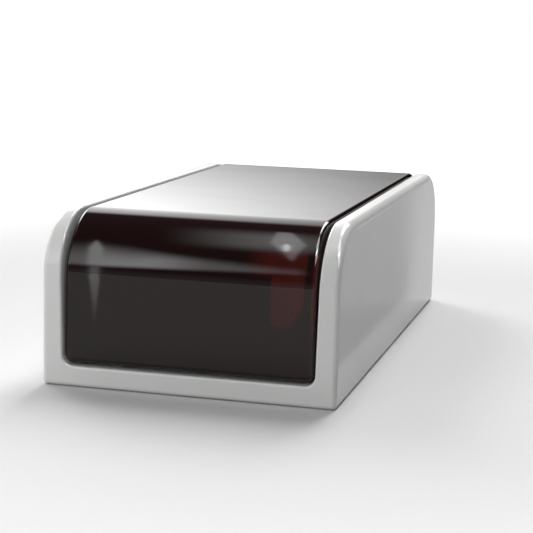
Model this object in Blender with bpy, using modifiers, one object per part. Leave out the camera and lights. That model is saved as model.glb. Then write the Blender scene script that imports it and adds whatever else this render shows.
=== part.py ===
"""Rosin cake: a cast block of rosin bonded into an open-ended plastic trough.

X is the width, Y the length and Z is up. The front end faces -Y.
The origin is the centre of the holder's underside. Lengths are in metres.
"""

import math

import bmesh
import bpy
from mathutils import Matrix

OBJECT_NAME = "rosin_cake"

# Holder, a trough moulded in one piece
HOLDER_WIDTH = 0.0312
HOLDER_LENGTH = 0.062
HOLDER_HEIGHT = 0.018
FLOOR_THICKNESS = 0.0022
WALL_THICKNESS = 0.0021  # at mid-height
TOP_CORNER_RADIUS = 0.0066  # front and back of each wall, seen from the side
INNER_CORNER_RADIUS = 0.0011  # floor to wall, inside the trough
OUTER_FILLET = 0.0005  # upright edges and underside
TOP_FILLET = 0.0010  # the walls' top outer edges; it runs out to the outer fillet round each corner
INNER_FILLET = 0.0004
TROUGH_DRAFT = math.radians(1.0)  # the trough widens upwards

# Bond layer between the trough's floor and the block
PAD_THICKNESS = 0.00015
PAD_CLEARANCE = 0.0001  # below the pad, and again above it
PAD_SIDE_MARGIN = 0.0022  # from the pad's edge to the block's side
PAD_END_MARGIN = 0.0030  # from the pad's edge to the block's end
PAD_CORNER_RADIUS = 0.0015

# Rosin block
BLOCK_SIDE_GAP = 0.0001  # to each wall, at the floor; the drafts widen it upwards
BLOCK_END_RECESS = 0.00025  # behind each end of the holder
BLOCK_LOWER_FILLET = 0.0010  # the two long bottom edges, which follow the trough's inner corners
BLOCK_FILLET = 0.0005  # every other edge
BLOCK_DRAFT = math.radians(0.5)  # the block narrows upwards
BLOCK_UNDERSIDE = FLOOR_THICKNESS + PAD_THICKNESS + 2 * PAD_CLEARANCE

# How finely curves are divided
ARC_STEP = math.radians(7.5)
FILLET_SEGMENTS = 4
SHARP_ANGLE = math.radians(40.0)
SAME_PLACE = 0.000001  # lengths that differ by less are equal

# How far the channel cutter runs past the holder
CUTTER_OVERRUN = 0.004

# Turns that take an outline's (across, up, sweep) to world axes
SWEEP_ALONG_X = Matrix(((0, 0, 1), (1, 0, 0), (0, 1, 0))).to_4x4()
SWEEP_ALONG_Y = Matrix(((1, 0, 0), (0, 0, -1), (0, 1, 0))).to_4x4()
SWEEP_ALONG_Z = Matrix.Identity(4)


def clear_scene():
    """Removes every object of the open scene."""
    for obj in list(bpy.data.objects):
        bpy.data.objects.remove(obj, do_unlink=True)


def new_collection(name):
    """A new collection, linked to the scene."""
    collection = bpy.data.collections.new(name)
    bpy.context.scene.collection.children.link(collection)
    return collection


def principled(name, colour, roughness, refraction):
    """A Principled material for a non-metal of one colour."""
    material = bpy.data.materials.new(name)
    material.diffuse_color = (*colour, 1.0)
    material.use_nodes = True
    inputs = material.node_tree.nodes["Principled BSDF"].inputs
    inputs["Base Color"].default_value = (*colour, 1.0)
    inputs["Roughness"].default_value = roughness
    inputs["Metallic"].default_value = 0.0
    inputs["IOR"].default_value = refraction
    return material


def rounded_outline(corners):
    """Points of a closed convex outline, anticlockwise, from its corners (across, up, radius)."""
    points = []
    for index, (across, up, radius) in enumerate(corners):
        if radius == 0:
            points.append((across, up))
            continue
        before = corners[index - 1]
        after = corners[(index + 1) % len(corners)]
        heading = math.atan2(up - before[1], across - before[0])
        turn = (math.atan2(after[1] - up, after[0] - across) - heading) % math.tau
        setback = radius * math.tan(turn / 2)
        centre_across = across - setback * math.cos(heading) - radius * math.sin(heading)
        centre_up = up - setback * math.sin(heading) + radius * math.cos(heading)
        steps = math.ceil(turn / ARC_STEP)
        for step in range(steps + 1):
            angle = heading - math.pi / 2 + turn * step / steps
            points.append((centre_across + radius * math.cos(angle), centre_up + radius * math.sin(angle)))
    return points


def swept_solid(name, outline, depth, turn, collection):
    """A solid made by sweeping a flat outline, with the sweep centred on the outline's plane."""
    shape = bmesh.new()
    cap = shape.faces.new([shape.verts.new((across, up, -depth / 2)) for across, up in outline])
    swept = bmesh.ops.extrude_face_region(shape, geom=[cap], use_keep_orig=True)
    far_verts = [item for item in swept["geom"] if isinstance(item, bmesh.types.BMVert)]
    bmesh.ops.translate(shape, verts=far_verts, vec=(0.0, 0.0, depth))
    bmesh.ops.transform(shape, matrix=turn, verts=shape.verts)
    bmesh.ops.recalc_face_normals(shape, faces=shape.faces)
    mesh = bpy.data.meshes.new(name)
    shape.to_mesh(mesh)
    shape.free()
    obj = bpy.data.objects.new(name, mesh)
    collection.objects.link(obj)
    return obj


def weigh_edges(obj, weight_of):
    """Sets each edge's bevel weight, its share of the bevel's width, from the edge's two ends."""
    mesh = obj.data
    weights = mesh.attributes.new("bevel_weight_edge", "FLOAT", "EDGE")
    for edge in mesh.edges:
        start, end = (mesh.vertices[index].co for index in edge.vertices)
        weights.data[edge.index].value = weight_of(start, end)


def holder_edge_weight(start, end):
    """The outer fillet on every edge of the solid holder, growing to the top fillet round each corner."""
    crosses = abs(start.x - end.x) > SAME_PLACE
    if crosses and max(start.z, end.z) > SAME_PLACE:
        return 0.0
    corner_start = HOLDER_HEIGHT - TOP_CORNER_RADIUS
    rise = max((start.z + end.z) / 2 - corner_start, 0.0) / TOP_CORNER_RADIUS
    return (OUTER_FILLET + (TOP_FILLET - OUTER_FILLET) * rise**2) / TOP_FILLET


def long_bottom_edge_weight(start, end):
    """1 for the two lengthwise edges of the block's underside, and 0 for the rest."""
    lies_at_bottom = max(start.z, end.z) - BLOCK_UNDERSIDE < SAME_PLACE
    runs_lengthwise = abs(start.x - end.x) < SAME_PLACE
    return float(lies_at_bottom and runs_lengthwise)


def add_fillet(obj, name, radius, limit="ANGLE"):
    """Rounds the object's sharp edges, or with limit WEIGHT each edge by its weight."""
    bevel = obj.modifiers.new(name, "BEVEL")
    bevel.width = radius
    bevel.segments = FILLET_SEGMENTS
    bevel.limit_method = limit
    bevel.angle_limit = SHARP_ANGLE
    bevel.use_clamp_overlap = False


def add_cut(obj, name, cutter):
    """Cuts a solid out of the object."""
    boolean = obj.modifiers.new(name, "BOOLEAN")
    boolean.operation = "DIFFERENCE"
    boolean.solver = "EXACT"
    boolean.object = cutter


def finish_piece(obj, material):
    """Gives a piece its material and smooth shading between its flat faces."""
    obj.data.materials.append(material)
    obj.data.shade_smooth()
    obj.data.set_sharp_from_angle(angle=SHARP_ANGLE)


def trough_half_width(height):
    """Half of the clear width between the walls."""
    wall_middle = (FLOOR_THICKNESS + HOLDER_HEIGHT) / 2
    return HOLDER_WIDTH / 2 - WALL_THICKNESS + (height - wall_middle) * math.tan(TROUGH_DRAFT)


def block_half_width(height):
    """Half of the block's width."""
    at_floor = trough_half_width(FLOOR_THICKNESS) - BLOCK_SIDE_GAP
    return at_floor - (height - FLOOR_THICKNESS) * math.tan(BLOCK_DRAFT)


def arched_side(length, bottom):
    """Side outline shared by the holder and the block: square at the bottom, well rounded on top."""
    return rounded_outline(
        [
            (-length / 2, bottom, 0),
            (length / 2, bottom, 0),
            (length / 2, HOLDER_HEIGHT, TOP_CORNER_RADIUS),
            (-length / 2, HOLDER_HEIGHT, TOP_CORNER_RADIUS),
        ]
    )


def make_channel_cutter(cutters):
    """The trough's hollow: a channel with round lower corners, open above and at both ends."""
    top = HOLDER_HEIGHT + CUTTER_OVERRUN
    section = rounded_outline(
        [
            (-trough_half_width(FLOOR_THICKNESS), FLOOR_THICKNESS, INNER_CORNER_RADIUS),
            (trough_half_width(FLOOR_THICKNESS), FLOOR_THICKNESS, INNER_CORNER_RADIUS),
            (trough_half_width(top), top, 0),
            (-trough_half_width(top), top, 0),
        ]
    )
    cutter = swept_solid(
        "channel_cutter", section, HOLDER_LENGTH + 2 * CUTTER_OVERRUN, SWEEP_ALONG_Y, cutters
    )
    cutter.hide_render = True
    cutter.display_type = "WIRE"
    return cutter


def make_holder(parts, cutters):
    """The trough: a solid with arched ends, rounded outside, hollowed, then rounded inside."""
    outline = arched_side(HOLDER_LENGTH, 0.0)
    holder = swept_solid("holder", outline, HOLDER_WIDTH, SWEEP_ALONG_X, parts)
    weigh_edges(holder, holder_edge_weight)
    add_fillet(holder, "outer fillet", TOP_FILLET, "WEIGHT")
    add_cut(holder, "channel", make_channel_cutter(cutters))
    add_fillet(holder, "inner fillet", INNER_FILLET)
    finish_piece(holder, principled("glossy white plastic", (0.72, 0.72, 0.71), 0.12, 1.5))


def make_adhesive_pad(parts):
    """The bond layer: a thin sheet with round corners, set back from the block's edges."""
    width = 2 * (block_half_width(FLOOR_THICKNESS) - PAD_SIDE_MARGIN)
    length = HOLDER_LENGTH - 2 * (BLOCK_END_RECESS + PAD_END_MARGIN)
    plan = rounded_outline(
        [
            (-width / 2, -length / 2, PAD_CORNER_RADIUS),
            (width / 2, -length / 2, PAD_CORNER_RADIUS),
            (width / 2, length / 2, PAD_CORNER_RADIUS),
            (-width / 2, length / 2, PAD_CORNER_RADIUS),
        ]
    )
    pad = swept_solid("adhesive_pad", plan, PAD_THICKNESS, SWEEP_ALONG_Z, parts)
    pad.location.z = FLOOR_THICKNESS + PAD_CLEARANCE + PAD_THICKNESS / 2
    finish_piece(pad, principled("clear amber adhesive", (0.55, 0.38, 0.16), 0.35, 1.48))


def make_rosin_block(parts):
    """The cast block: arched like the walls, narrowing upwards, and fitted to the trough's corners."""
    outline = arched_side(HOLDER_LENGTH - 2 * BLOCK_END_RECESS, BLOCK_UNDERSIDE)
    block = swept_solid("rosin_block", outline, HOLDER_WIDTH, SWEEP_ALONG_X, parts)
    for vertex in block.data.vertices:
        vertex.co.x = math.copysign(block_half_width(vertex.co.z), vertex.co.x)
    weigh_edges(block, long_bottom_edge_weight)
    add_fillet(block, "lower fillet", BLOCK_LOWER_FILLET, "WEIGHT")
    add_fillet(block, "edge fillet", BLOCK_FILLET)
    finish_piece(block, principled("dark rosin", (0.035, 0.012, 0.009), 0.06, 1.54))


def main():
    clear_scene()
    parts = new_collection(OBJECT_NAME)
    cutters = new_collection("cutters")
    make_holder(parts, cutters)
    make_adhesive_pad(parts)
    make_rosin_block(parts)


main()
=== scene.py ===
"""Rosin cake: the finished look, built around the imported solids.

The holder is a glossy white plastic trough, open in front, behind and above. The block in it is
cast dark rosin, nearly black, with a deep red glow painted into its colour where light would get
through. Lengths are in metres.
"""

import math

import bmesh
import bpy
from mathutils import Matrix, Quaternion, Vector


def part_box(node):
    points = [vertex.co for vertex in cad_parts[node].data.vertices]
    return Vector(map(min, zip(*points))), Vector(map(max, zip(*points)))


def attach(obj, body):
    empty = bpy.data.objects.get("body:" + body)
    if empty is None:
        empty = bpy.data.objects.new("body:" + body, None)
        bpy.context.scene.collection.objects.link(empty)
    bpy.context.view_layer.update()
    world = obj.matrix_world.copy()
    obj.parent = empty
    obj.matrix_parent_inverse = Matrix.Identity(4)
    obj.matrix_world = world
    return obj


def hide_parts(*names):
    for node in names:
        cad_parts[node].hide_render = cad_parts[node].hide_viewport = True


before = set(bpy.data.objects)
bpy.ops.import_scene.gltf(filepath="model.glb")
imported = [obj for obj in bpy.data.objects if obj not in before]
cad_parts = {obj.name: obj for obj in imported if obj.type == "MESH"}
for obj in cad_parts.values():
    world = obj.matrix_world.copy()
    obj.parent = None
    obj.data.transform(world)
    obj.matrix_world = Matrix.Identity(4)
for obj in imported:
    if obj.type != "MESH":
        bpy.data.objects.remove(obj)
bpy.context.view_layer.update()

# Shape of the pieces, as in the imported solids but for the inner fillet
WALL_THICKNESS = 0.0021  # at mid-height
FLOOR_THICKNESS = 0.0022
TOP_CORNER_RADIUS = 0.0066
INNER_CORNER_RADIUS = 0.0011
OUTER_FILLET = 0.0005  # upright edges and underside
TOP_FILLET = 0.0010  # the walls' top outer edges; it runs out to the outer fillet round each corner
INNER_FILLET = 0.00025  # crisper than the CAD's
BLOCK_LOWER_FILLET = 0.0010
BLOCK_FILLET = 0.0005
BLOCK_SIDE_GAP = 0.0001  # at the floor
TROUGH_DRAFT = math.radians(1.0)
BLOCK_DRAFT = math.radians(0.5)
CUTTER_OVERRUN = 0.004  # how far the channel cutter runs past the holder
SAME_PLACE = 0.000001  # lengths that differ by less are equal

HOLDER_LOW, HOLDER_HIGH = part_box("holder")
BLOCK_LOW, BLOCK_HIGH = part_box("rosin_block")

# Fineness of the curves
HOLDER_ARC_STEP = math.radians(5.0)  # no finer, or the growing fillet folds over itself
BLOCK_ARC_STEP = math.radians(1.5)
FILLET_SEGMENTS = 8
SHARP_ANGLE = math.radians(30.0)

# Turns that take an outline's (across, up, sweep) to the frame's axes
SWEEP_ALONG_X = Matrix(((0, 0, 1), (1, 0, 0), (0, 1, 0))).to_4x4()
SWEEP_ALONG_Y = Matrix(((1, 0, 0), (0, 0, -1), (0, 1, 0))).to_4x4()

# Fine relief: the plastic's sink and orange peel, and the rosin's ripple
SINK_DEPTH = 0.000008
PEEL_DEPTH = 0.0000012
RIPPLE_DEPTH = 0.000008

# Scratches in the plastic, long and thin
SCRATCH_TURN = (0.25, 0.10, 0.20)  # radians, so that none lies quite along the holder
SCRATCH_SCALE = (2600.0, 110.0, 2600.0)  # scratches to the metre

# The glow painted into the rosin's colour for light that would get through, on the +X side of both ends:
# a patch with a round foot, a brow above it that reaches further in, and a rim along the upright edge.
# A pair is where the glow starts and is full.
PAINTED_GLOW_INWARD = (0.00625, 0.00325)  # from the block's end
PAINTED_GLOW_TOP = (0.0157, 0.0149)
PATCH_LEFT, PATCH_RIGHT = 0.0086, 0.0120
PATCH_SOFTNESS = 0.0002
PATCH_FOOT_HEIGHT = 0.0070  # of the foot's lowest point
PATCH_FOOT_SOFTNESS = 0.0016
PATCH_FOOT_MIDDLE = 0.0096
PATCH_FOOT_REACH = 0.0022  # aside from its middle, where the foot has risen by
PATCH_FOOT_RISE = 0.0019
BROW_LEFT, BROW_RIGHT = 0.0068, 0.0121
BROW_LEFT_SOFTNESS, BROW_RIGHT_SOFTNESS = 0.0016, 0.0002
BROW_FOOT = (0.0126, 0.0134)
RIM_LEFT = (0.0126, 0.0129)
RIM_LOW, RIM_HIGH = 0.0085, 0.0152
RIM_LOW_SOFTNESS, RIM_HIGH_SOFTNESS = 0.003, 0.0005
RIM_STRENGTH = 1.3

# Floor, and how pale it is: to the camera near the cake and far off, mirrored in it, to scattered light
FLOOR_RADIUS = 12.0
FLOOR_SEGMENTS = 96
# To the camera the floor is greyer near the cake, a painted shade round it, and paler far off
FLOOR_SEEN = 0.65
FLOOR_SEEN_FAR = 0.97
FLOOR_FADE = (0.050, 0.17)  # distances from the origin between which it gets paler
FLOOR_MIRRORED = 0.40
FLOOR_BOUNCE = 0.30

# The strip light's foot on the floor: a thin pale wedge from its tip to the front left, painted light that
# only mirrors see
STRIP_TIP = (-0.0215, -0.0600)  # across and along
STRIP_LEAN = -0.395  # metres across for each metre to the front
STRIP_FAR_LEAN = -0.387  # the same, from the bend on
STRIP_BEND = 0.030  # from the tip
STRIP_POINT_SPREAD = 0.025  # half-width for each metre from the tip, at the point
STRIP_STEM_SPREAD = 0.0028  # the same, beyond the point
STRIP_STEM_START = 0.0007  # half-width of the stem, carried back to the tip
STRIP_SOFTNESS = 0.0003
STRIP_BRIGHTENS = 0.032  # from the tip, how far the foot gets brighter
PAINTED_STRIP_SHADES = (1.2 * FLOOR_MIRRORED, 3.9 * FLOOR_MIRRORED)  # at the tip, and at the brightest

# The pale stripe of floor along the holder's right side: painted light that only mirrors see
PAINTED_STRIPE_SHADE = 1.55 * FLOOR_MIRRORED
STRIPE_LEFT = 0.0150
STRIPE_RIGHT = 0.0193
STRIPE_WIDENING = 0.1626  # metres across for each metre to the back, towards the stripe's back end
STRIPE_WIDE_START = 0.0140  # where that edge would cross the middle of the length

# Camera, to the front right and a little above
CAMERA_PLACE = Vector((0.0448, -0.1696, 0.0387))
CAMERA_AIM = Vector((0.0, 0.0, 0.0085))
CAMERA_LEAN = math.radians(1.4)
CAMERA_LENS = 100.0  # millimetres
CAMERA_SENSOR = 36.0  # millimetres
CAMERA_CLIP = (0.01, 50.0)


# ---------------------------------------------------------------- shapes


def rounded_outline(corners, arc_step):
    """Points of a closed convex outline, anticlockwise, from its corners (across, up, radius)."""
    points = []
    for index, (across, up, radius) in enumerate(corners):
        if radius == 0:
            points.append((across, up))
            continue
        before = corners[index - 1]
        after = corners[(index + 1) % len(corners)]
        heading = math.atan2(up - before[1], across - before[0])
        turn = (math.atan2(after[1] - up, after[0] - across) - heading) % math.tau
        setback = radius * math.tan(turn / 2)
        centre_across = across - setback * math.cos(heading) - radius * math.sin(heading)
        centre_up = up - setback * math.sin(heading) + radius * math.cos(heading)
        steps = math.ceil(turn / arc_step)
        for step in range(steps + 1):
            angle = heading - math.pi / 2 + turn * step / steps
            points.append((centre_across + radius * math.cos(angle), centre_up + radius * math.sin(angle)))
    return points


def swept_solid(name, outline, depth, turn):
    """A solid made by sweeping a flat outline, with the sweep centred on the outline's plane."""
    shape = bmesh.new()
    cap = shape.faces.new([shape.verts.new((across, up, -depth / 2)) for across, up in outline])
    swept = bmesh.ops.extrude_face_region(shape, geom=[cap], use_keep_orig=True)
    far_verts = [item for item in swept["geom"] if isinstance(item, bmesh.types.BMVert)]
    bmesh.ops.translate(shape, verts=far_verts, vec=(0.0, 0.0, depth))
    bmesh.ops.transform(shape, matrix=turn, verts=shape.verts)
    bmesh.ops.recalc_face_normals(shape, faces=shape.faces)
    mesh = bpy.data.meshes.new(name)
    shape.to_mesh(mesh)
    shape.free()
    mesh.shade_smooth()
    return linked_object(name, mesh)


def linked_object(name, data):
    """A new object of the data given, linked to the scene."""
    obj = bpy.data.objects.new(name, data)
    bpy.context.scene.collection.objects.link(obj)
    return obj


def weigh_edges(obj, weight_of):
    """Sets each edge's bevel weight, its share of the bevel's width, from the edge's two ends."""
    mesh = obj.data
    weights = mesh.attributes.new("bevel_weight_edge", "FLOAT", "EDGE")
    for edge in mesh.edges:
        start, end = (mesh.vertices[index].co for index in edge.vertices)
        weights.data[edge.index].value = weight_of(start, end)


def holder_edge_weight(start, end):
    """The outer fillet on every edge of the solid holder, growing to the top fillet round each corner."""
    crosses = abs(start.x - end.x) > SAME_PLACE
    if crosses and max(start.z, end.z) > SAME_PLACE:
        return 0.0
    corner_start = HOLDER_HIGH.z - TOP_CORNER_RADIUS
    rise = max((start.z + end.z) / 2 - corner_start, 0.0) / TOP_CORNER_RADIUS
    return (OUTER_FILLET + (TOP_FILLET - OUTER_FILLET) * rise**2) / TOP_FILLET


def long_bottom_edge_weight(start, end):
    """1 for the two lengthwise edges of the block's underside, and 0 for the rest."""
    lies_at_bottom = max(start.z, end.z) - BLOCK_LOW.z < SAME_PLACE
    runs_lengthwise = abs(start.x - end.x) < SAME_PLACE
    return float(lies_at_bottom and runs_lengthwise)


def add_fillet(obj, name, radius, limit="ANGLE"):
    """Rounds the object's sharp edges, or with limit WEIGHT each edge by its weight."""
    bevel = obj.modifiers.new(name, "BEVEL")
    bevel.width = radius
    bevel.segments = FILLET_SEGMENTS
    bevel.limit_method = limit
    bevel.angle_limit = SHARP_ANGLE
    bevel.use_clamp_overlap = False


def add_cut(obj, name, cutter):
    """Cuts a solid out of the object."""
    boolean = obj.modifiers.new(name, "BOOLEAN")
    boolean.operation = "DIFFERENCE"
    boolean.solver = "EXACT"
    boolean.object = cutter


def settle(obj, *helpers):
    """Makes the modifiers' result the object's own mesh, with flat faces shaded flat, and removes helpers."""
    normals = obj.modifiers.new("even shading", "WEIGHTED_NORMAL")
    normals.keep_sharp = True
    bpy.context.view_layer.update()
    evaluated = obj.evaluated_get(bpy.context.evaluated_depsgraph_get())
    mesh = bpy.data.meshes.new_from_object(evaluated)
    obj.modifiers.clear()
    obj.data = mesh
    for helper in helpers:
        bpy.data.objects.remove(helper, do_unlink=True)


def trough_half_width(height):
    """Half of the clear width between the walls."""
    wall_middle = (FLOOR_THICKNESS + HOLDER_HIGH.z) / 2
    return HOLDER_HIGH.x - WALL_THICKNESS + (height - wall_middle) * math.tan(TROUGH_DRAFT)


def block_half_width(height):
    """Half of the block's width."""
    at_floor = trough_half_width(FLOOR_THICKNESS) - BLOCK_SIDE_GAP
    return at_floor - (height - FLOOR_THICKNESS) * math.tan(BLOCK_DRAFT)


def arched_side(half_length, bottom, top, arc_step):
    """Side outline of the holder and of the block: square at the bottom, well rounded on top."""
    return rounded_outline(
        [
            (-half_length, bottom, 0),
            (half_length, bottom, 0),
            (half_length, top, TOP_CORNER_RADIUS),
            (-half_length, top, TOP_CORNER_RADIUS),
        ],
        arc_step,
    )


def make_channel_cutter():
    """The trough's hollow: a channel with round lower corners, open above and at both ends."""
    top = HOLDER_HIGH.z + CUTTER_OVERRUN
    section = rounded_outline(
        [
            (-trough_half_width(FLOOR_THICKNESS), FLOOR_THICKNESS, INNER_CORNER_RADIUS),
            (trough_half_width(FLOOR_THICKNESS), FLOOR_THICKNESS, INNER_CORNER_RADIUS),
            (trough_half_width(top), top, 0),
            (-trough_half_width(top), top, 0),
        ],
        HOLDER_ARC_STEP,
    )
    return swept_solid("channel_cutter", section, 2 * (HOLDER_HIGH.y + CUTTER_OVERRUN), SWEEP_ALONG_Y)


def make_holder():
    """The trough: a solid with arched ends, rounded outside, hollowed, then rounded inside."""
    outline = arched_side(HOLDER_HIGH.y, HOLDER_LOW.z, HOLDER_HIGH.z, HOLDER_ARC_STEP)
    holder = swept_solid("holder_trough", outline, 2 * HOLDER_HIGH.x, SWEEP_ALONG_X)
    channel = make_channel_cutter()
    weigh_edges(holder, holder_edge_weight)
    add_fillet(holder, "outer fillet", TOP_FILLET, "WEIGHT")
    add_cut(holder, "channel", channel)
    add_fillet(holder, "inner fillet", INNER_FILLET)
    settle(holder, channel)
    return holder


def make_block():
    """The cast block: arched like the walls, narrowing upwards, and fitted to the trough's corners."""
    outline = arched_side(BLOCK_HIGH.y, BLOCK_LOW.z, BLOCK_HIGH.z, BLOCK_ARC_STEP)
    block = swept_solid("cast_rosin_block", outline, 2 * BLOCK_HIGH.x, SWEEP_ALONG_X)
    for vertex in block.data.vertices:
        vertex.co.x = math.copysign(block_half_width(vertex.co.z), vertex.co.x)
    weigh_edges(block, long_bottom_edge_weight)
    add_fillet(block, "lower fillet", BLOCK_LOWER_FILLET, "WEIGHT")
    add_fillet(block, "edge fillet", BLOCK_FILLET)
    settle(block)
    return block


# ---------------------------------------------------------------- nodes


def new_material(name):
    """A node material with nothing in its tree yet: (material, tree)."""
    material = bpy.data.materials.new(name)
    material.use_nodes = True
    material.node_tree.nodes.clear()
    return material, material.node_tree


def add_node(tree, kind, **inputs):
    """A node with its inputs set: a socket is linked, and any other value becomes the default.
    An input goes by its number, as in _0, or by its label, with __ for a space."""
    node = tree.nodes.new(kind)
    for key, value in inputs.items():
        socket = node.inputs[int(key[1:]) if key[0] == "_" else key.replace("__", " ")]
        if isinstance(value, bpy.types.NodeSocket):
            tree.links.new(value, socket)
        else:
            socket.default_value = value
    return node


def set_surface(tree, shader, output="ShaderNodeOutputMaterial", **inputs):
    """Links a shader, with its inputs set, to a new output node as the surface."""
    surface = add_node(tree, shader, **inputs)
    tree.links.new(surface.outputs[0], tree.nodes.new(output).inputs["Surface"])


def object_coordinates(tree):
    """The place on the object, in metres."""
    return tree.nodes.new("ShaderNodeTexCoord").outputs["Object"]


def split(tree, vector):
    """The X, Y and Z parts of a vector."""
    return add_node(tree, "ShaderNodeSeparateXYZ", _0=vector).outputs


def maths(tree, operation, *values):
    """The output of a math node."""
    node = add_node(tree, "ShaderNodeMath", **{f"_{i}": value for i, value in enumerate(values)})
    node.operation = operation
    return node.outputs[0]


def product(tree, first, *others):
    """The product of several values."""
    for other in others:
        first = maths(tree, "MULTIPLY", first, other)
    return first


def steps_from(tree, value, middle, step):
    """How far the value is above the middle, in steps of the size given."""
    return maths(tree, "DIVIDE", maths(tree, "SUBTRACT", value, middle), step)


def squared(tree, value):
    """The value times itself."""
    return maths(tree, "POWER", value, 2.0)


def remap(tree, value, from_min, from_max, to_min, to_max, smooth=True):
    """The output of a Map Range node."""
    node = add_node(tree, "ShaderNodeMapRange", _0=value, _1=from_min, _2=from_max, _3=to_min, _4=to_max)
    node.interpolation_type = "SMOOTHSTEP" if smooth else "LINEAR"
    return node.outputs[0]


def between(tree, value, low, high, low_soft, high_soft):
    """1 where the value lies from low to high, with soft ends."""
    rise = remap(tree, maths(tree, "SUBTRACT", value, low), -low_soft, low_soft, 0.0, 1.0)
    fall = remap(tree, maths(tree, "SUBTRACT", high, value), -high_soft, high_soft, 0.0, 1.0)
    return maths(tree, "MULTIPLY", rise, fall)


def mixed_number(tree, share, first, second):
    """The first number where the share is 0, and the second where it is 1."""
    return add_node(tree, "ShaderNodeMix", _0=share, _2=first, _3=second).outputs[0]


def mixed_colour(tree, share, first, second):
    """The first colour where the share is 0, and the second where it is 1."""
    node = add_node(tree, "ShaderNodeMix", _0=share, _6=(*first, 1.0), _7=(*second, 1.0))
    node.data_type = "RGBA"
    return node.outputs[2]


def noise(tree, coordinates, scale, detail=2.0, distortion=0.0):
    """The value of a noise texture whose features are about 1 / scale metres across."""
    node = add_node(
        tree, "ShaderNodeTexNoise", Vector=coordinates, Scale=scale, Detail=detail, Distortion=distortion
    )
    return node.outputs[0]


def bumped(tree, height, depth, **under):
    """A normal bent by a height from 0 to 1 that stands for the depth, and by the Normal under it."""
    bump = add_node(tree, "ShaderNodeBump", Height=height, Distance=depth, Strength=1.0, **under)
    return bump.outputs[0]


# ---------------------------------------------------------------- materials


def plastic_material():
    """Glossy white plastic, with slight sink, a fine orange peel, and scratches along the holder."""
    material, tree = new_material("moulded_white_plastic")
    place = object_coordinates(tree)
    cloud = remap(tree, noise(tree, place, 90.0, 3.0), 0.3, 0.7, 0.0, 1.0)
    handled = remap(tree, noise(tree, place, 400.0, 4.0), 0.3, 0.7, 0.07, 0.12)
    stretched = add_node(tree, "ShaderNodeMapping", _0=place, _2=SCRATCH_TURN, _3=SCRATCH_SCALE).outputs[0]
    scratches = remap(tree, noise(tree, stretched, 1.0, 1.0), 0.66, 0.72, 0.0, 0.05)
    sink = bumped(tree, noise(tree, place, 70.0), SINK_DEPTH)
    peel = bumped(tree, noise(tree, place, 1800.0), PEEL_DEPTH, Normal=sink)
    set_surface(
        tree,
        "ShaderNodeBsdfPrincipled",
        Base__Color=mixed_colour(tree, cloud, (0.70, 0.70, 0.695), (0.73, 0.73, 0.725)),
        Roughness=maths(tree, "ADD", handled, scratches),
        IOR=1.5,
        Normal=peel,
    )
    return material


def painted_rosin_glow(tree, place):
    """How much painted glow the rosin's colour gets, for light that would come back out of it, from 0 where
    it is black.
    """
    across, along, up = split(tree, place)
    inward_start, inward_full = (BLOCK_HIGH.y - inward for inward in PAINTED_GLOW_INWARD)
    near_end = remap(tree, maths(tree, "ABSOLUTE", along), inward_start, inward_full, 0.0, 1.0)

    # The patch
    foot_curve = squared(tree, steps_from(tree, across, PATCH_FOOT_MIDDLE, PATCH_FOOT_REACH))
    foot = maths(tree, "MULTIPLY_ADD", foot_curve, PATCH_FOOT_RISE, PATCH_FOOT_HEIGHT)
    above_foot = remap(tree, maths(tree, "SUBTRACT", up, foot), 0.0, PATCH_FOOT_SOFTNESS, 0.0, 1.0)
    reach = between(tree, across, PATCH_LEFT, PATCH_RIGHT, PATCH_SOFTNESS, PATCH_SOFTNESS)
    patch = product(tree, reach, above_foot)

    # The brow
    reach = between(tree, across, BROW_LEFT, BROW_RIGHT, BROW_LEFT_SOFTNESS, BROW_RIGHT_SOFTNESS)
    brow = product(tree, reach, remap(tree, up, *BROW_FOOT, 0.0, 1.0))

    # The rim
    reach = remap(tree, across, *RIM_LEFT, 0.0, RIM_STRENGTH)
    rim = product(tree, reach, between(tree, up, RIM_LOW, RIM_HIGH, RIM_LOW_SOFTNESS, RIM_HIGH_SOFTNESS))

    # Where the glow is painted, standing in for light through the rosin
    lit = maths(tree, "MAXIMUM", maths(tree, "MAXIMUM", patch, brow), rim)
    under_top = remap(tree, up, *PAINTED_GLOW_TOP, 0.0, 1.0)
    cloud = remap(tree, noise(tree, place, 140.0, 2.0), 0.35, 0.65, 0.8, 1.0)
    return product(tree, lit, under_top, near_end, cloud)


def rosin_material():
    """Near-black resin with a glassy surface and a deep red glow painted into its colour where light would
    get into it.
    """
    material, tree = new_material("cast_dark_rosin")
    place = object_coordinates(tree)
    smear = remap(tree, noise(tree, place, 110.0, 5.0, 0.6), 0.5, 0.75, 0.03, 0.06)
    # red is the painted glow's colour, for light that would come through the rosin
    black, red = (0.0100, 0.0017, 0.0013), (0.056, 0.0056, 0.0038)
    set_surface(
        tree,
        "ShaderNodeBsdfPrincipled",
        Base__Color=mixed_colour(tree, painted_rosin_glow(tree, place), black, red),
        Roughness=smear,
        IOR=1.54,
        Normal=bumped(tree, noise(tree, place, 90.0, 1.0), RIPPLE_DEPTH),
    )
    return material


def adhesive_material():
    """Clear amber adhesive, uneven in thickness and half matt."""
    material, tree = new_material("amber_adhesive")
    place = object_coordinates(tree)
    thickness = remap(tree, noise(tree, place, 220.0, 3.0), 0.3, 0.7, 0.0, 1.0)
    set_surface(
        tree,
        "ShaderNodeBsdfPrincipled",
        Base__Color=mixed_colour(tree, thickness, (0.48, 0.31, 0.12), (0.42, 0.25, 0.08)),
        Roughness=remap(tree, noise(tree, place, 500.0, 3.0), 0.3, 0.7, 0.25, 0.45),
        IOR=1.48,
    )
    return material


# ---------------------------------------------------------------- studio floor


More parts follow.
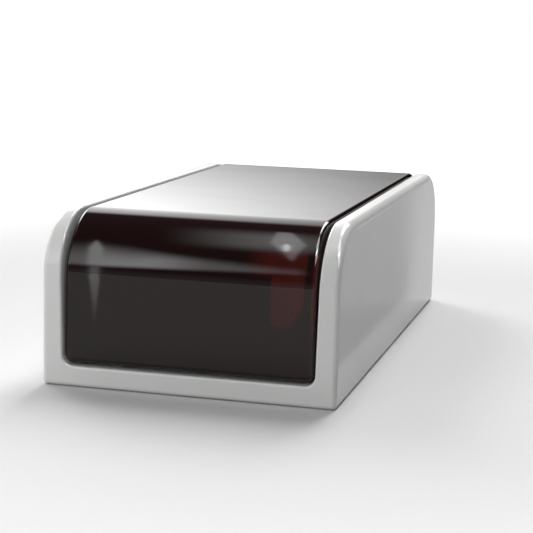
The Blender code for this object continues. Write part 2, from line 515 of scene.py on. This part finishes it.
def painted_strip_foot(tree, across, onward):
    """1 on the strip light's painted foot, a pale wedge of floor seen only in mirrors, where onward is the
    way to the front from the foot's tip.
    """
    bent_start = STRIP_TIP[0] + STRIP_BEND * (STRIP_LEAN - STRIP_FAR_LEAN)
    near_middle = maths(tree, "MULTIPLY_ADD", onward, STRIP_LEAN, STRIP_TIP[0])
    far_middle = maths(tree, "MULTIPLY_ADD", onward, STRIP_FAR_LEAN, bent_start)
    middle = maths(tree, "MAXIMUM", near_middle, far_middle)
    aside = maths(tree, "ABSOLUTE", maths(tree, "SUBTRACT", across, middle))
    point = maths(tree, "MULTIPLY", onward, STRIP_POINT_SPREAD)
    stem = maths(tree, "MULTIPLY_ADD", onward, STRIP_STEM_SPREAD, STRIP_STEM_START)
    inside = maths(tree, "SUBTRACT", maths(tree, "MINIMUM", point, stem), aside)
    return remap(tree, inside, -STRIP_SOFTNESS, STRIP_SOFTNESS, 0.0, 1.0)


def floor_mirrored(tree, across, along):
    """The floor's shade in mirrors: plain, with painted light on it: the strip light's foot and the pale
    stripe.
    """
    # The pale stripe is painted light on the floor, seen only in mirrors
    stripe_back = maths(tree, "MULTIPLY_ADD", along, STRIPE_WIDENING, STRIPE_WIDE_START)
    stripe_edge = maths(tree, "MAXIMUM", stripe_back, STRIPE_RIGHT)
    stripe = between(tree, across, STRIPE_LEFT, stripe_edge, 0.0005, 0.0010)
    plain = remap(tree, stripe, 0.0, 1.0, FLOOR_MIRRORED, PAINTED_STRIPE_SHADE)
    onward = maths(tree, "SUBTRACT", STRIP_TIP[1], along)
    # The painted foot gets brighter towards the front
    painted_foot_shade = remap(tree, onward, 0.0, STRIP_BRIGHTENS, *PAINTED_STRIP_SHADES, smooth=False)
    return mixed_number(tree, painted_strip_foot(tree, across, onward), plain, painted_foot_shade)


def floor_seen(tree, place):
    """The floor's shade to the camera: grey near the cake, a painted shade round it, and white far off, where
    it has no edge.
    """
    distance = add_node(tree, "ShaderNodeVectorMath", _0=place)
    distance.operation = "LENGTH"
    return remap(tree, distance.outputs["Value"], *FLOOR_FADE, FLOOR_SEEN, FLOOR_SEEN_FAR)


def make_floor():
    """A pale matt floor, with one shade for the camera, one for mirrors and one for scattered light."""
    mesh = bpy.data.meshes.new("studio_floor")
    shape = bmesh.new()
    bmesh.ops.create_circle(shape, cap_ends=True, segments=FLOOR_SEGMENTS, radius=FLOOR_RADIUS)
    shape.to_mesh(mesh)
    shape.free()
    material, tree = new_material("pale_floor")
    place = object_coordinates(tree)
    across, along, _ = split(tree, place)
    path = tree.nodes.new("ShaderNodeLightPath").outputs
    unseen = mixed_number(tree, path["Is Glossy Ray"], FLOOR_BOUNCE, floor_mirrored(tree, across, along))
    shade = mixed_number(tree, path["Is Camera Ray"], unseen, floor_seen(tree, place))
    set_surface(tree, "ShaderNodeBsdfDiffuse", Color=shade)
    mesh.materials.append(material)
    linked_object("studio_floor", mesh)


# ---------------------------------------------------------------- studio light
# A lamp of the world is a strip or panel that runs across, so it is placed by two numbers: side, the
# direction's X part, and turn, its angle in degrees round the X axis from the front horizon.


def back_softbox(tree, side, turn):
    """Wide and low behind. It dims to the right and towards the horizon."""
    strength = remap(tree, side, -0.34, -0.16, 2.25, 0.71, smooth=False)
    low_dim = remap(tree, turn, 171.8, 175.6, 1.0, 0.0, smooth=False)
    top = remap(tree, turn, 128.0, 140.0, 0.0, 1.0)
    reach = between(tree, side, -0.95, -0.07, 0.10, 0.06)
    return product(tree, strength, low_dim, top, reach)


def front_softbox(tree, side, turn):
    """Low at the front left: an even, wide part, and a bright one that narrows and fades to the right."""
    join = -0.367  # the side where the two parts meet
    taper = (-0.36, -0.24)  # the sides between which both parts' edges close in
    lower = remap(tree, side, *taper, 13.0, 22.5, smooth=False)
    upper = remap(tree, side, *taper, 50.0, 33.0, smooth=False)
    bottom = remap(tree, maths(tree, "SUBTRACT", turn, lower), -3.0, 6.0, 0.0, 1.0)
    crispness = remap(tree, side, -0.345, -0.300, 0.55, 1.25)
    under_top = maths(tree, "MULTIPLY", maths(tree, "SUBTRACT", upper, turn), crispness)
    top = remap(tree, under_top, -7.0, 15.0, 0.0, 1.0)
    strength = remap(tree, side, -0.330, -0.285, 3.4, 1.35)
    fade = remap(tree, side, -0.285, -0.235, 1.0, 0.75)
    bright_reach = between(tree, side, join, -0.2265, 0.0015, 0.005)
    bright_part = product(tree, strength, fade, bottom, top, bright_reach)
    even_reach = between(tree, side, -1.1, join, 0.05, 0.0015)
    even_part = product(tree, even_reach, bottom, top, 1.6)
    return maths(tree, "ADD", bright_part, even_part)


def strip_light(tree, side, turn):
    """Upright at the front left, over its painted foot on the floor, with a pointed top."""
    middle, half_width = -0.3620, 0.0048  # as sides
    foot = remap(tree, turn, 12.0, 17.0, 0.0029, half_width)
    point = remap(tree, turn, 46.0, 68.0, half_width, -0.0015, smooth=False)
    half = maths(tree, "MINIMUM", foot, point)
    aside = maths(tree, "ABSOLUTE", maths(tree, "SUBTRACT", side, middle))
    strip = remap(tree, maths(tree, "SUBTRACT", half, aside), -0.0012, 0.0012, 0.0, 1.0)
    return product(tree, strip, remap(tree, turn, 14.0, 22.0, 1.4, 3.3))


def front_left_light(tree, side, turn):
    """The strip light in front of the softbox."""
    return maths(tree, "MAXIMUM", front_softbox(tree, side, turn), strip_light(tree, side, turn))


def corner_panel(tree, side, turn):
    """High at the front: a small panel turned on its corner, which leans and has a blunt top."""
    level, lean = 82.0, 0.00011  # the turn where it stands at its own side, and its side's change per degree
    middle = maths(tree, "MULTIPLY_ADD", maths(tree, "SUBTRACT", level, turn), lean, -0.2380)
    off_side = maths(tree, "ABSOLUTE", steps_from(tree, side, middle, 0.0125))
    low, widest, high = 45.0, 80.0, 128.0  # turns
    below = remap(tree, turn, low, widest, 1.0, 0.0, smooth=False)
    above = remap(tree, turn, widest, high, 0.0, 1.0, smooth=False)
    off_turn = maths(tree, "MAXIMUM", below, above)
    panel = remap(tree, maths(tree, "ADD", off_side, off_turn), 0.85, 1.05, 1.9, 0.0)
    blunt_top = remap(tree, turn, 104.0, 110.0, 1.0, 0.0)
    return product(tree, panel, blunt_top)


def bulb(tree, side, turn):
    """The small round bulb in the corner panel."""
    strength = 9.5
    off_side = squared(tree, steps_from(tree, side, -0.2390, 0.0024))
    off_turn = squared(tree, steps_from(tree, turn, 72.0, 9.0))
    return remap(tree, maths(tree, "ADD", off_side, off_turn), 0.2, 1.3, strength, 0.0)


def haze(tree, side, turn):
    """A haze round the corner panel, thickest just left of it."""
    height = between(tree, turn, 66.0, 100.0, 10.0, 13.0)
    thicken = remap(tree, side, -0.325, -0.245, 0.0, 1.5)
    thin = remap(tree, side, -0.236, -0.222, 1.0, 0.65)
    right_end = remap(tree, side, -0.190, -0.150, 1.0, 0.0)
    return product(tree, height, thicken, thin, right_end)


def key_panels(tree, side, turn):
    """The key light: two high panels behind, to each side of what the block's front mirrors."""
    right_panel = between(tree, side, -0.10, 0.20, 0.04, 0.05)
    left_panel = between(tree, side, -0.68, -0.44, 0.05, 0.05)
    panels = maths(tree, "MULTIPLY_ADD", left_panel, 0.50, right_panel)
    strength = remap(tree, turn, 104.0, 118.0, 1.6, 12.5)
    height = between(tree, turn, 78.0, 152.0, 8.0, 10.0)
    return product(tree, height, strength, panels)


def room_light(tree, side, turn):
    """The dim rest of the room, darkest to the right of the back softbox."""
    dark_side = between(tree, side, -0.10, 1.1, 0.05, 0.05)
    dark = product(tree, between(tree, turn, 158.0, 200.0, 6.0, 1.0), dark_side)
    horizon = remap(tree, turn, 0.0, 14.0, 0.26, 0.07)
    return mixed_number(tree, dark, horizon, 0.01)


def make_world():
    """The studio's room and its lamps, with plain white for the camera."""
    world = bpy.data.worlds.new("studio_light")
    bpy.context.scene.world = world
    world.use_nodes = True
    tree = world.node_tree
    tree.nodes.clear()
    side, along, up = split(tree, tree.nodes.new("ShaderNodeTexCoord").outputs["Generated"])
    to_front = maths(tree, "MULTIPLY", along, -1.0)
    turn = maths(tree, "DEGREES", maths(tree, "ARCTAN2", up, to_front))
    total = room_light(tree, side, turn)
    for lamp in (back_softbox, front_left_light, corner_panel, bulb, haze, key_panels):
        total = maths(tree, "ADD", total, lamp(tree, side, turn))
    seen = tree.nodes.new("ShaderNodeLightPath").outputs["Is Camera Ray"]
    strength = mixed_number(tree, seen, total, 1.0)
    white = (1.0, 1.0, 1.0, 1.0)
    set_surface(tree, "ShaderNodeBackground", "ShaderNodeOutputWorld", Color=white, Strength=strength)


def add_lamp(name, place, aim, size, brightness):
    """A rectangular area lamp, its size (across, along) and brightness as radiance."""
    data = bpy.data.lights.new(name, "AREA")
    data.shape = "RECTANGLE"
    data.size, data.size_y = size
    data.energy = brightness * math.pi * size[0] * size[1]
    lamp = linked_object(name, data)
    lamp.location = place
    lamp.rotation_euler = (Vector(aim) - lamp.location).to_track_quat("-Z", "Y").to_euler()
    lamp.visible_camera = False
    return lamp


def toward(side, turn, distance):
    """The way to a point this far off in the direction that side and turn stand for."""
    over = math.sqrt(1.0 - side**2)
    angle = math.radians(turn)
    return Vector((side, -over * math.cos(angle), over * math.sin(angle))) * distance


def make_lamps(holder):
    """Lamps that side and turn don't suit, because they stand close by or light only some things."""
    corner = Vector((HOLDER_HIGH.x, HOLDER_LOW.y, HOLDER_HIGH.z))

    # Two that only show as highlights in the rounded edges at the front right
    place = corner + toward(side=0.36, turn=77.0, distance=0.60)
    edge_panel = add_lamp("edge_panel", place, corner, size=(0.34, 0.66), brightness=7.0)
    place = corner + toward(side=0.36, turn=69.0, distance=0.58)
    edge_bulb = add_lamp("edge_bulb", place, corner, size=(0.20, 0.10), brightness=22.0)
    for lamp in (edge_panel, edge_bulb):
        lamp.visible_diffuse = False

    # The fill at the front right, which isn't mirrored in anything
    place = corner + toward(side=0.40, turn=34.0, distance=0.60)
    fill = add_lamp("fill", place, corner, size=(0.50, 0.40), brightness=1.35)
    fill.visible_glossy = False

    # Two close by for the holder alone: on the left wall's front, and on the right wall's top at the back
    place, aim = (-0.075, -0.085, 0.012), (0.0, HOLDER_LOW.y, 0.010)
    near_left = add_lamp("near_left", place, aim, size=(0.040, 0.014), brightness=13.0)
    place, aim = (0.0145, 0.040, 0.060), (0.0145, 0.040, 0.0)
    near_top = add_lamp("near_top", place, aim, size=(0.010, 0.020), brightness=24.0)
    for lamp in (near_left, near_top):
        lamp.visible_glossy = False
        lit_pieces = bpy.data.collections.new(f"lit_by_{lamp.name}")
        lit_pieces.objects.link(holder)
        lamp.light_linking.receiver_collection = lit_pieces


# ---------------------------------------------------------------- camera and pieces


def make_camera():
    """The camera, leaning slightly, as it would in a view cropped from the corner of a wider one."""
    data = bpy.data.cameras.new("camera")
    data.sensor_width = CAMERA_SENSOR
    data.lens = CAMERA_LENS
    data.clip_start, data.clip_end = CAMERA_CLIP
    camera = linked_object("camera", data)
    camera.location = CAMERA_PLACE
    upright = (CAMERA_AIM - camera.location).to_track_quat("-Z", "Y")
    camera.rotation_euler = (upright @ Quaternion((0.0, 0.0, 1.0), CAMERA_LEAN)).to_euler()
    bpy.context.scene.camera = camera


def show(piece, node, material):
    """Puts a finished piece in the place of a CAD node."""
    piece.data.materials.clear()
    piece.data.materials.append(material)
    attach(piece, "root")
    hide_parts(node)


def main():
    """Builds the pieces in the place of the CAD's nodes, then the studio round them."""
    bpy.context.scene.view_settings.view_transform = "Standard"
    holder = make_holder()
    show(holder, "holder", plastic_material())
    show(make_block(), "rosin_block", rosin_material())
    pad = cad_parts["adhesive_pad"]
    pad.data.materials.clear()
    pad.data.materials.append(adhesive_material())
    make_floor()
    make_world()
    make_lamps(holder)
    make_camera()


main()
